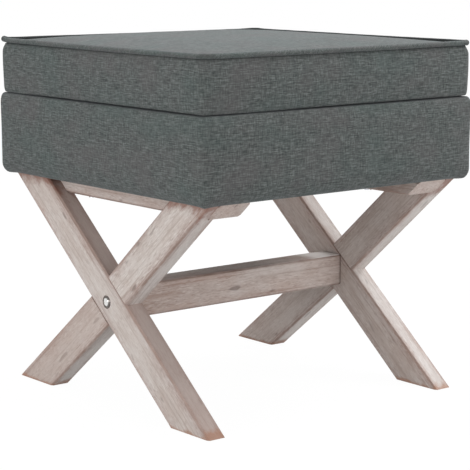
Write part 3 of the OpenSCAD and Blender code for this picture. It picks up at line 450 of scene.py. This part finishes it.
def outline(half, radius, swell):
    """Points round a square with rounded corners and sides that swell, counter-clockwise."""
    points = []
    for k in range(4):
        turns = [math.radians(90 * k + 90 * i / CORNER_STEPS) for i in range(CORNER_STEPS + 1)]
        middle = (half - radius) * math.sqrt(2)
        diagonal = math.radians(90 * k + 45)
        centre = middle * Vector((math.cos(diagonal), math.sin(diagonal)))
        points += [centre + radius * Vector((math.cos(a), math.sin(a))) for a in turns]
        outward = Vector((math.cos(turns[-1]), math.sin(turns[-1])))
        ahead = Vector((-outward.y, outward.x))
        first = points[-1]
        for i in range(1, SIDE_STEPS):
            s = i / SIDE_STEPS
            bulge = swell * (1 - abs(2 * s - 1) ** 2.5)
            points.append(first + ahead * (2 * s * (half - radius)) + outward * bulge)
    return points


def rings_of(half, swell, profile):
    """Rings at (inset, height, share of the swell), for a square piece of one half size."""
    return [[Vector((*point, z)) for point in outline(half - swell - inset,
                                                      max(CORNER - inset, 0.3 * MM), swell * share)]
            for inset, z, share in profile]


def smooth_piece(name, points, faces, material):
    """A smooth-shaded object from points and faces."""
    mesh = bpy.data.meshes.new(name)
    mesh.from_pydata(points, [], faces)
    mesh.materials.append(material)
    mesh.shade_smooth()
    return placed(name, mesh)


def square_sheet(name, points, material):
    """A sheet from rows of points, as many rows as there are points in each, facing up."""
    count = math.isqrt(len(points))
    faces = [(j * count + i, j * count + i + 1, (j + 1) * count + i + 1, (j + 1) * count + i)
             for j in range(count - 1) for i in range(count - 1)]
    return smooth_piece(name, points, faces, material)


def cloth_through(name, rings, held_rings, material, floored=False):
    """A sheet through rings of points, with its threads' coordinates in metres.

    Its held rings stay in place when it is stuffed, and floored closes its first ring with a face.
    """
    count = len(rings[0])
    faces = [(j * count + i, j * count + (i + 1) % count,
              (j + 1) * count + (i + 1) % count, (j + 1) * count + i)
             for j in range(len(rings) - 1) for i in range(count)]
    woven = len(faces)
    if floored:
        faces.append(tuple(reversed(range(count))))
    piece = smooth_piece(name, [point for ring in rings for point in ring], faces, material)
    middle = rings[len(rings) // 2]
    round_by, up_by = [0.0], [0.0]
    for i in range(count):
        round_by.append(round_by[-1] + (middle[(i + 1) % count] - middle[i]).length)
    for ring, after in zip(rings, rings[1:]):
        up_by.append(up_by[-1] + (after[count // 8] - ring[count // 8]).length)
    weave = piece.data.uv_layers.new(name="weave")
    for face in piece.data.polygons[:woven]:
        j, i = divmod(face.index, count)
        threads = ((i, j), (i + 1, j), (i + 1, j + 1), (i, j + 1))
        for loop, (u, v) in zip(face.loop_indices, threads):
            weave.data[loop].uv = (round_by[u], up_by[v])
    held = piece.vertex_groups.new(name="held")
    # The upright corners are held a little too, by the doubled foam behind them
    corners = [i for i in range(count) if i % (CORNER_STEPS + SIDE_STEPS) <= CORNER_STEPS]
    held.add([j * count + i for j in range(len(rings)) for i in corners], 0.45, "REPLACE")
    held.add([j * count + i for j in held_rings for i in range(count)], 1.0, "REPLACE")
    return piece


def uneven(piece, height, size):
    """Moves a sheet's free points in and out a little, as cloth stretched over foam by hand."""
    held = piece.vertex_groups["held"].index
    normals = [vertex.normal.copy() for vertex in piece.data.vertices]
    for vertex, normal in zip(piece.data.vertices, normals):
        if not any(group.group == held and group.weight > 0.5 for group in vertex.groups):
            vertex.co += normal * (height * noise.noise(vertex.co / size))


def stuffed(piece, pressure, most):
    """Presses a sheet out from its held rings with the foam behind it, by cloth simulation."""
    scene = bpy.context.scene
    rest = np.array([vertex.co for vertex in piece.data.vertices])
    modifier = piece.modifiers.new("cloth", "CLOTH")
    cloth = modifier.settings
    cloth.quality = 6
    cloth.mass = 0.25
    cloth.tension_stiffness = 25
    cloth.compression_stiffness = 25
    cloth.shear_stiffness = 8
    cloth.bending_stiffness = 0.6
    cloth.vertex_group_mass = "held"
    cloth.use_pressure = True
    cloth.uniform_pressure_force = pressure
    cloth.effector_weights.gravity = 0
    modifier.collision_settings.use_collision = False
    for step in range(1, 21):
        scene.frame_set(step)
    shaped = piece.evaluated_get(bpy.context.evaluated_depsgraph_get()).data
    moved = np.array([vertex.co for vertex in shaped.vertices]) - rest
    far = np.linalg.norm(moved, axis=1, keepdims=True)
    moved *= np.minimum(1, most / np.maximum(far, 1e-9))
    piece.modifiers.remove(modifier)
    piece.data.vertices.foreach_set("co", (rest + moved).ravel())
    piece.data.update()
    scene.frame_set(1)


def apply_all(piece):
    """Makes a piece's modifiers part of its mesh."""
    shaped = piece.evaluated_get(bpy.context.evaluated_depsgraph_get())
    mesh = bpy.data.meshes.new_from_object(shaped)
    piece.modifiers.clear()
    piece.data = mesh


def thickened(piece, thickness):
    """Gives a sheet its thickness, inwards."""
    modifier = piece.modifiers.new("cloth thickness", "SOLIDIFY")
    modifier.thickness = thickness
    modifier.offset = -1
    apply_all(piece)


def shaded(piece, painted_shades):
    """Stores how deep each point lies in a seam, from 0 to 1, for the cloth's painted shade."""
    piece.data.attributes.new("painted_seam_shade", "FLOAT", "POINT").data.foreach_set("value", painted_shades)


def cut_hinge_pockets(piece, low, high):
    """Cuts the pockets in which the hinges' leaves and knuckles lie, between two heights."""
    length, leaf_y, leaf_width, knuckle_radius = 61.2 * MM, 215.7 * MM, 20.6 * MM, 3.6 * MM
    size = Vector((length, leaf_width, high - low))
    cutters = []
    for x in (-HINGE_X, HINGE_X):
        leaf, knuckles = bmesh.new(), bmesh.new()
        bmesh.ops.create_cube(leaf, size=1)
        for vertex in leaf.verts:
            vertex.co = Vector((x, leaf_y, (low + high) / 2)) + vertex.co * size
        bmesh.ops.create_cone(knuckles, cap_ends=True, segments=28, radius1=knuckle_radius,
                              radius2=knuckle_radius, depth=length)
        for vertex in knuckles.verts:
            vertex.co = (x + vertex.co.z, HINGE_Y + vertex.co.y, HINGE_Z + vertex.co.x)
        bmesh.ops.recalc_face_normals(knuckles, faces=knuckles.faces)
        for work in (leaf, knuckles):
            mesh = bpy.data.meshes.new("hinge pocket")
            work.to_mesh(mesh)
            work.free()
            cutter = placed("hinge pocket", mesh)
            modifier = piece.modifiers.new("pocket", "BOOLEAN")
            modifier.object, modifier.operation, modifier.solver = cutter, "DIFFERENCE", "EXACT"
            cutters.append(cutter)
    bpy.context.view_layer.update()
    apply_all(piece)
    for cutter in cutters:
        bpy.data.objects.remove(cutter)


# ---- Seam between box and lid ----------------------------------------------------------------

# How far up and down from the gap its painted shade reaches, and how far in from the sides it shows
GAP_SHADE, GAP_REACH = 0.6 * MM, 10 * MM

# Where the foam is fullest the lid lies right on the box, and their seam closes: place and width
CLOSED_SEAMS = [(Vector((-150, -230)) * MM, 70 * MM), (Vector((-230, 185)) * MM, 40 * MM)]


def seam_closed(x, y):
    """How far the seam is closed at a place along it."""
    return max(nearness((Vector((x, y)) - place).length, width) for place, width in CLOSED_SEAMS)


def pressed_shut(point):
    """How far box and lid press together at a point: not at the corners, nor over the hinges."""
    if point.y > 0.97 * LID_HALF:
        return 0
    return 1 - nearness(LID_HALF - min(abs(point.x), abs(point.y)), 26 * MM)


def seam_rings(half, swell, slack, full):
    """Rings between a slack and a full profile, by how far the seam is pressed shut there."""
    pairs = zip(rings_of(half, swell, slack), rings_of(half, swell, full))
    return [[p.lerp(q, pressed_shut(p)) for p, q in zip(*pair)] for pair in pairs]


# ---- Box cover -------------------------------------------------------------------------------

def box_cover():
    """The box's cloth: hem, round lower edge, sides fullest near the top, and in over the rim."""
    fullest, swell = 0.6 * MM, 0.6 * MM
    low, high = FRAME_TOP + LOWER_ROUND, RIM - RIM_RISE
    below = [(inset, FRAME_TOP, 0) for inset in BOX_HEM]
    below += [(LOWER_ROUND * (1 - math.sin(a)), low - LOWER_ROUND * math.cos(a), math.sin(a))
              for a in quarter(8)]
    side = [(-fullest * (i / 12) ** 1.5, low + (high - low) * i / 12, 1) for i in range(1, 13)]
    over = [(14 * MM, RIM, 0), (WALL_IN - 1 * MM, RIM, 0), (WALL_IN, RIM - 1.1 * MM, 0),
            (WALL_IN, RIM - 10 * MM, 0), (WALL_IN, RIM - TURN_IN, 0)]

    def profile(sharpness):
        """The section from the hem up and in over a rim as round or as square as is asked."""
        edge = [(RIM_IN * (1 - math.cos(a)) ** sharpness - fullest * math.cos(a),
                 high + RIM_RISE * math.sin(a), math.cos(a)) for a in quarter(8)[1:]]
        return below + side + edge + over

    slack = profile(1.3)
    rings = seam_rings(BOX_HALF, swell, slack, profile(2.4))
    # Held along the hem and the start of the round edge, and from halfway up the rim's curve
    held = [*range(len(below) - 6), *range(len(slack) - 9, len(slack))]
    piece = cloth_through("box_cover_linen", rings, held, linen)
    # Painted shade along the top of the rim, in the gap between box and lid
    painted_shades = [max(0, 1 - (RIM - z) / GAP_SHADE) if inset < GAP_REACH else 0
              for inset, z, _ in slack]
    shaded(piece, np.repeat(painted_shades, len(rings[0])))
    # Clear of the frames, the cloth hangs a little lower at the corners
    for vertex in piece.data.vertices:
        x, y, z = vertex.co
        hang = nearness(math.hypot(BOX_HALF - abs(x), BOX_HALF - abs(y)), 20 * MM)
        vertex.co.z -= 2.8 * MM * hang * max(0, 1 - (z - FRAME_TOP) / (1.6 * LOWER_ROUND))
    uneven(piece, height=0.5 * MM, size=60 * MM)
    stuffed(piece, pressure=2.5, most=1.5 * MM)
    thickened(piece, CLOTH)
    cut_hinge_pockets(piece, HINGE_Z - 3.3 * MM, HINGE_Z + 1 * MM)
    stand_in(piece, "base", "box_cover")


# ---- Lid -------------------------------------------------------------------------------------

# The seam of the lid's top rises or dips towards its corners, and where the piping is folded round
# one it stands up and out: corner, how far up, how far out, and how wide
CORNER_FOLDS = [((-1, 1), 4.2 * MM, 3.0 * MM, 8 * MM), ((-1, 1), 1.1 * MM, 0, 150 * MM),
                ((1, -1), 0.2 * MM, 0.6 * MM, 8 * MM), ((1, -1), 0.8 * MM, 0, 110 * MM),
                ((1, 1), 0.9 * MM, 0, 22 * MM), ((-1, -1), 0.5 * MM, 0, 15 * MM)]


def seam_point(x, y):
    """A point of the lid's upper seam, stood up and out where it nears a corner."""
    point = Vector((x, y, PIPING))
    for (sx, sy), lift, reach, width in CORNER_FOLDS:
        near = nearness(math.hypot(x - sx * LID_HALF, y - sy * LID_HALF), width)
        point += near * Vector((sx * reach, sy * reach, lift))
    return point


def lump(x, y):
    """How near a place is to the lumps of piping folded round the left and the right corner."""
    corner = LID_HALF - 4 * MM
    return max(nearness(math.hypot(x - sx * corner, y - sy * corner), 5 * MM)
               for sx, sy in ((-1, 1), (1, -1)))


def pulled_in(x, y):
    """How much the cloth is drawn in at the upright corners, where the piping turns tightly."""
    return nearness(LID_HALF - min(abs(x), abs(y)), 9 * MM)


def lid_boxing():
    """The lid's side band: hem, round lower edge, full side, and drawn in under the piping."""
    fullest, swell, edge_in, pinch_in = 1.2 * MM, 1.5 * MM, 3.0 * MM, 3.0 * MM
    low, high = LID_BOTTOM + LID_ROUND, BOXING_TOP - PINCH
    hem = [(inset, LID_BOTTOM, 0) for inset in LID_HEM]
    side = [(-fullest * math.sin(math.pi / 2 * i / 8), low + (high - low) * i / 8, 1)
            for i in range(1, 9)]
    side += [(pinch_in * (i / 8) ** 2.2 - fullest, high + PINCH * i / 8, 1 - 0.6 * i / 8)
             for i in range(1, 9)]
    # Its last ring is tucked in under the piping
    side += [(4.5 * MM, BOXING_TOP + 1.2 * MM, 0.3)]

    def profile(sharpness):
        """The section from the hem up, with a lower edge as round or as square as is asked."""
        edge = [(edge_in * (1 - math.sin(a)) ** sharpness,
                 low - LID_ROUND * math.cos(a), math.sin(a)) for a in quarter(8)]
        return hem + edge + side

    slack = profile(1)
    rings = seam_rings(LID_HALF, swell, slack, profile(2.4))
    # Held along the hem and the lower half of the round edge, and under the piping
    held = [*range(6), len(slack) - 2, len(slack) - 1]
    piece = cloth_through("lid_boxing_linen", rings, held, linen)
    # Painted shade along the lower edge, in the gap between lid and box, and up under the piping
    painted_shades = [max(0, 1 - (z - LID_BOTTOM) / GAP_SHADE, 0.35 - (BOXING_TOP - z) / (7 * MM))
              if inset < GAP_REACH else 0 for inset, z, _ in slack]
    shaded(piece, np.repeat(painted_shades, len(rings[0])))
    for vertex, slot in zip(piece.data.vertices, piece.data.attributes["painted_seam_shade"].data):
        x, y, z = vertex.co
        if z < low:
            # Where the seam is closed, the lower edge comes down to the box and has less painted
            # shade
            vertex.co.z -= 0.9 * MM * seam_closed(x, y) * (low - z) / LID_ROUND
            slot.value *= 1 - 0.75 * seam_closed(x, y)
        draw = 2.0 * MM * pulled_in(x, y) * max(0, 1 - (BOXING_TOP - z) / (14 * MM)) ** 2
        vertex.co.x -= math.copysign(draw, x)
        vertex.co.y -= math.copysign(draw, y)
    uneven(piece, height=0.6 * MM, size=55 * MM)
    stuffed(piece, pressure=2.5, most=1.4 * MM)
    thickened(piece, CLOTH)
    cut_hinge_pockets(piece, HINGE_Z - 1 * MM, HINGE_Z + 3.7 * MM)
    stand_in(piece, "lid", "lid_boxing")


def lid_top_panel():
    """The lid's top: steep at the piping, nearly flat in the middle, pressed up by the foam."""
    steps, bow = 72, 0.004
    # The rows lie closer together towards the piping
    shares = [math.copysign(1 - (1 - abs(s)) ** 1.35, s) for s in np.linspace(-1, 1, steps + 1)]
    points, painted_shades = [], []
    for v in shares:
        for u in shares:
            x = u * TOP_HALF * (1 + bow * (1 - v * v))
            y = v * TOP_HALF * (1 + bow * (1 - u * u))
            from_seam = 1 - max(abs(u), abs(v))
            crown = CROWN * (1 - abs(u) ** 5) * (1 - abs(v) ** 5)
            ripple = 0.5 * MM * noise.noise(Vector((x, y, 0)) / (90 * MM)) * min(1, 6 * from_seam)
            points.append((x, y, seam_point(x, y).z - 0.8 * MM + crown + ripple))
            # Painted shade within 2.5 mm of the seam with the piping
            painted_shades.append(max(0, 1 - from_seam * TOP_HALF / (2.5 * MM)))
    piece = square_sheet("lid_top_linen", points, linen)
    weave = piece.data.uv_layers.new(name="weave")
    for loop in piece.data.loops:
        weave.data[loop.index].uv = points[loop.vertex_index][:2]
    shaded(piece, painted_shades)
    border = [i for i, depth in enumerate(painted_shades) if depth == 1]
    piece.vertex_groups.new(name="held").add(border, 1.0, "REPLACE")
    stuffed(piece, pressure=2.0, most=2.0 * MM)
    thickened(piece, CLOTH)
    stand_in(piece, "lid", "lid_top_panel")


def lid_piping():
    """A cord in a bias strip of the same cloth, sewn into the seam of top and boxing."""
    sides = 12
    half = LID_HALF + 0.15 * MM - PIPING_RADIUS
    path = [seam_point(*place) for place in outline(half, 10 * MM, 1.5 * MM)]
    count = len(path)
    points, along, painted_shades = [], [0.0], []
    for i, point in enumerate(path):
        ahead = (path[(i + 1) % count] - path[i - 1]).normalized()
        outward = ahead.cross(Vector((0, 0, 1))).normalized()
        up = outward.cross(ahead)
        along.append(along[-1] + (path[(i + 1) % count] - point).length)
        fold = lump(point.x, point.y)
        for k in range(sides):
            turn = 2 * math.pi * k / sides
            dents = noise.noise(point / (8 * MM) + Vector((0, 0, k * 0.6)))
            radius = PIPING_RADIUS * (1 + 0.05 * dents) * (1 + 0.25 * fold)
            points.append(point + radius * (math.cos(turn) * outward + math.sin(turn) * up))
            # Painted shade on the side turned in to the seam, less of it below, and on the drawn-in
            # corners and folded lumps
            inner = max(0, (0.15 - math.cos(turn)) / 0.35) * (1 if math.sin(turn) > -0.6 else 0.4)
            painted_shades.append(min(1, inner + 0.4 * pulled_in(point.x, point.y) + 0.9 * fold))
    faces = [(i * sides + (k + 1) % sides, (i + 1) % count * sides + (k + 1) % sides,
              (i + 1) % count * sides + k, i * sides + k)
             for i in range(count) for k in range(sides)]
    piece = smooth_piece("lid_piping_linen", points, faces, linen)
    weave = piece.data.uv_layers.new(name="weave")
    for face in piece.data.polygons:
        i, k = divmod(face.index, sides)
        threads = ((i, k + 1), (i + 1, k + 1), (i + 1, k), (i, k))
        for loop, (u, v) in zip(face.loop_indices, threads):
            # Cut on the bias: the threads cross the cord at 45 degrees
            round_by = v * 2 * math.pi * PIPING_RADIUS / sides
            weave.data[loop].uv = (along[u] + round_by, along[u] - round_by)
    shaded(piece, painted_shades)
    stand_in(piece, "lid", "lid_piping")


# ---- Foam, linings and staples ---------------------------------------------------------------

STAPLE_SPACING = 45 * MM


def foam_pad(node, body, easing):
    """A hidden foam piece with its edges eased."""
    mesh = eased_copy(node, easing, sharper_than=20)
    mesh.materials.clear()
    mesh.materials.append(foam)
    piece = placed("foam_" + node, mesh)
    stand_in(piece, body, node)


def compartment_lining():
    """The lining, cut as a cross and sewn up the corners, with a hem round the top."""
    low, high = (Vector(corner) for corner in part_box("compartment_lining"))
    half, crease, hem_width = high.x, 3 * MM, 12 * MM
    wall_low, wall_high = low.z + crease, high.z - hem_width
    profile = [(half * (1 - i / 8), low.z) for i in range(1, 8)]
    profile += [(crease * (1 - math.sin(a)), low.z + crease * (1 - math.cos(a)))
                for a in quarter(4)]
    profile += [(0, wall_low + (wall_high - wall_low) * i / 10) for i in range(1, 11)]
    # The hem's stitches draw the cloth in a little, and its top edge is round
    profile += [(0.3 * MM, wall_high + 0.5 * MM), (0, wall_high + 1.2 * MM),
                (0, high.z - 0.4 * MM), (0.2 * MM, high.z)]
    rings = [[Vector((*point, z)) for point in outline(half - inset, 4 * MM, 0)]
             for inset, z in profile]
    piece = cloth_through("compartment_lining_cloth", rings, [], lining, floored=True)
    # Glued to the panels, it stands off them here and there, but lies flat round the stay's bracket
    by_wall = half - 1 * MM
    for vertex in piece.data.vertices:
        x, y, z = vertex.co
        fading = min(1, max(0, (high.z - z) / hem_width))
        loose = 1.2 * MM * max(0, noise.noise(vertex.co / (45 * MM))) * fading
        if z > wall_low and x < by_wall:
            vertex.co.x += loose if x < -by_wall else 0
            vertex.co.y -= math.copysign(loose, y) if abs(y) > by_wall else 0
    thickened(piece, 0.8 * MM)
    stand_in(piece, "base", "compartment_lining")


def stapled_cloth(node, body, sag, free_half):
    """A flat piece of lining, stapled round its edge, that sags where nothing is under it."""
    low, high = (Vector(corner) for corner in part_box(node))
    half = high.x
    points = []
    for v in np.linspace(-1, 1, 61):
        for u in np.linspace(-1, 1, 61):
            x, y = u * half, v * half
            # The edge draws back a little between its staples
            drawn_x, drawn_y = (0.7 * MM * abs(math.sin(math.pi * along / STAPLE_SPACING))
                                for along in (y, x))
            x -= math.copysign(drawn_x, x) if abs(u) == 1 else 0
            y -= math.copysign(drawn_y, y) if abs(v) == 1 else 0
            free = max(0, 1 - (x / free_half) ** 2) * max(0, 1 - (y / free_half) ** 2)
            wavy = 1 + 0.4 * noise.noise(Vector((x, y, 0)) / (60 * MM))
            points.append((x, y, high.z - sag * free * wavy))
    piece = square_sheet("stapled_" + node, points, lining)
    thickened(piece, high.z - low.z)
    stand_in(piece, body, node)
    staples(body + "_staples", body, half - 5 * MM, low.z)


def staples(name, body, half, height):
    """A square of staples pressed into a cloth from below: each a crown of flattened wire."""
    crown_size = Vector((9 * MM, 1.0 * MM, 0.5 * MM))
    mesh = bpy.data.meshes.new(name)
    work = bmesh.new()
    each_side = round(2 * half / STAPLE_SPACING)
    for side in range(4):
        turn = math.radians(90 * side)
        for i in range(each_side):
            place = -half + (i + 0.5) * 2 * half / each_side
            askew = 0.12 * noise.noise(Vector((side * 7.3, i * 3.1, 0)))
            for vertex in bmesh.ops.create_cube(work, size=1)["verts"]:
                along, out, up = vertex.co * crown_size
                x, y = place + along, half + out + askew * along
                vertex.co = (x * math.cos(turn) - y * math.sin(turn),
                             x * math.sin(turn) + y * math.cos(turn), height - 0.2 * MM + up)
    bmesh.ops.bevel(work, geom=work.edges[:], offset=0.2 * MM, segments=2, profile=0.5,
                    affect="EDGES")
    work.to_mesh(mesh)
    work.free()
    mesh.materials.append(zinc)
    piece = placed(name, mesh)
    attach(piece, body)


x_frame("left", -LEG_X, -RAIL_X)
x_frame("right", LEG_X, RAIL_X)
stretcher()
box_cover()
lid_boxing()
lid_top_panel()
lid_piping()
for wall in ("front", "back", "left", "right"):
    foam_pad(wall + "_pad", "base", 1.2 * MM)
foam_pad("lid_foam", "lid", 0.2 * MM)
compartment_lining()
stapled_cloth("dust_cover", "base", sag=1.2 * MM, free_half=140 * MM)
stapled_cloth("lid_underside_cloth", "lid", sag=0.8 * MM, free_half=180 * MM)


# ---- Floor and light -------------------------------------------------------------------------

# Each lamp's name, place, side in metres and power in watts
LAMPS = [("overhead softbox", (0.2, 0.3, 2.2), 1.8, 23),
         ("left softbox", (-2.1, -0.5, 1.4), 1.4, 6),
         ("low left softbox", (-2.4, -0.3, 0.3), 0.8, 16),
         ("right softbox", (1.9, -0.5, 2.1), 1.2, 30),
         ("front right softbox", (2.0, -1.9, 0.7), 1.4, 9),
         ("low front softbox", (0.5, -2.6, 0.35), 1.2, 13)]


def seen(tree):
    """1 for what the camera sees, straight or in a gloss, and 0 for what lights the object."""
    return add(tree, "Math", add(tree, "LightPath", out="Is Camera Ray"),
               add(tree, "LightPath", out="Is Glossy Ray"), operation="MAXIMUM")


def studio_floor():
    """A white floor that keeps a faint shadow."""
    reach = 6
    corners = [(-reach, -reach, 0), (reach, -reach, 0), (reach, reach, 0), (-reach, reach, 0)]
    floor = placed("floor", bpy.data.meshes.new("floor"))
    floor.data.from_pydata(corners, [], [(0, 1, 2, 3)])
    material = bpy.data.materials.new("white studio floor")
    material.use_nodes = True
    tree = material.node_tree
    tree.nodes.clear()
    share = add(tree, "Math", seen(tree), 0.94, operation="MULTIPLY")
    painted = add(tree, "BsdfDiffuse", "#c2c2c2")
    shining = add(tree, "Emission", "#ffffff", 1.04)
    add(tree, "OutputMaterial", add(tree, "MixShader", share, painted, shining), out=None)
    floor.data.materials.append(material)


def surround():
    """A white surround that lights the object softly."""
    world = bpy.data.worlds.new("studio")
    bpy.context.scene.world = world
    world.use_nodes = True
    tree = world.node_tree
    tree.nodes.clear()
    ambient = add(tree, "Background", "#ffffff", 0.55)
    white = add(tree, "Background", "#ffffff", 1.0)
    add(tree, "OutputWorld", add(tree, "MixShader", seen(tree), ambient, white), out=None)


def lamps():
    """Soft lamps, all turned to the object's middle."""
    middle = Vector((0, 0, 0.3))
    for name, place, side, power in LAMPS:
        lamp = placed(name, bpy.data.lights.new(name, "AREA"))
        lamp.data.size = side
        lamp.data.energy = power
        lamp.location = place
        lamp.rotation_euler = (middle - Vector(place)).to_track_quat("-Z", "Y").to_euler()


studio_floor()
surround()
lamps()
bpy.context.scene.view_settings.view_transform = "Standard"
